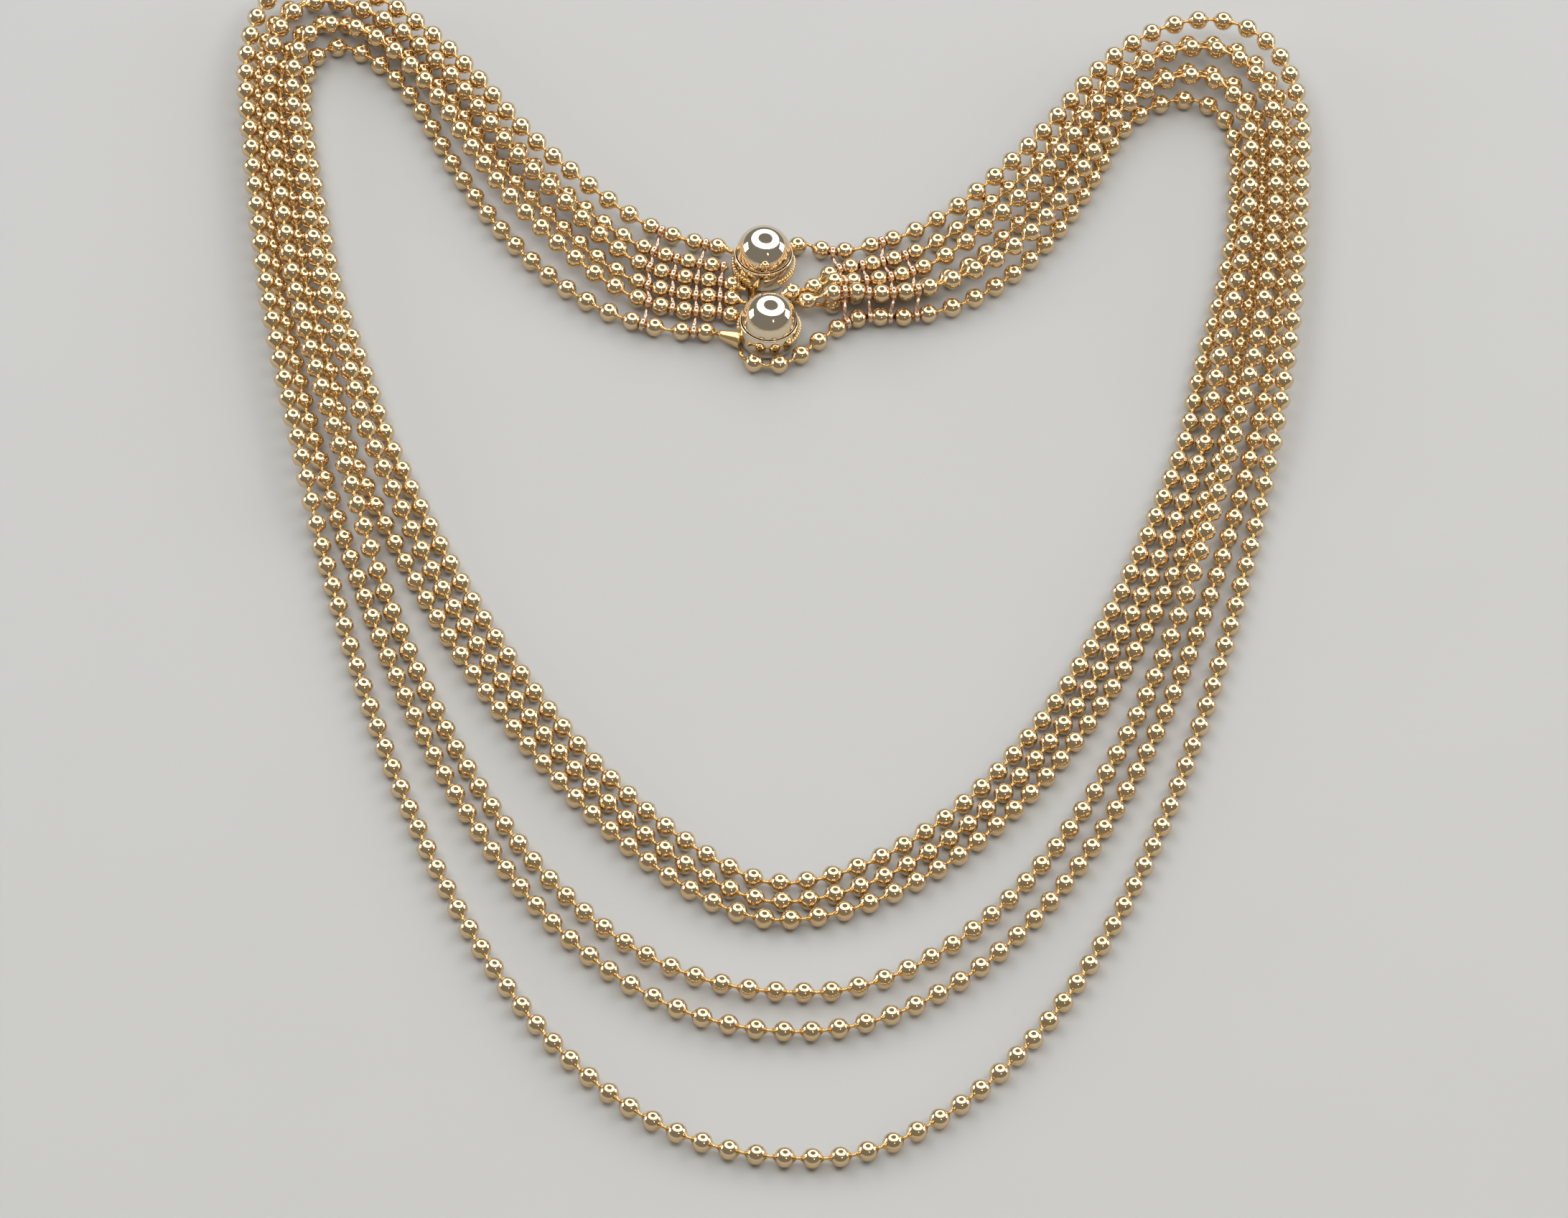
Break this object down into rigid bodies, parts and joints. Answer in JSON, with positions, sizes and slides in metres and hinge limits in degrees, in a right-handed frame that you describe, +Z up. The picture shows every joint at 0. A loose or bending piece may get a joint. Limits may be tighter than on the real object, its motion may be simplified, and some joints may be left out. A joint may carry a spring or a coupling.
{
  "type": "festoon necklace",
  "caption": "Festoon necklace of gold bead strings in graduated swags, with pierced spacer bars and a clasp of two polished balls set in wire-bound cups.",
  "frame": {"origin": "centre of the necklace's footprint on the surface it lies on", "axes": "+Y from the front swags to the clasp, +X to the right seen from above with the clasp at the top, +Z up from the surface"},
  "size_m": [0.143, 0.197, 0.0076],
  "materials": {
    "bead_gold": "polished",
    "spacer_gold": "satin",
    "clasp_gold": "polished"
  },
  "bodies": {
    "root": {"string_1": "bead_gold", "string_2": "bead_gold", "string_3": "bead_gold", "string_4": "bead_gold", "string_5": "bead_gold", "string_6": "bead_gold", "spacer_left_1": "spacer_gold", "spacer_left_2": "spacer_gold", "spacer_left_3": "spacer_gold", "spacer_left_4": "spacer_gold", "spacer_right_1": "spacer_gold", "spacer_right_2": "spacer_gold", "spacer_right_3": "spacer_gold", "spacer_right_4": "spacer_gold", "clasp_setting": "clasp_gold", "clasp_ball_upper": "clasp_gold", "clasp_ball_lower": "clasp_gold", "clasp_tongue": "clasp_gold"}
  },
  "joints": []
}
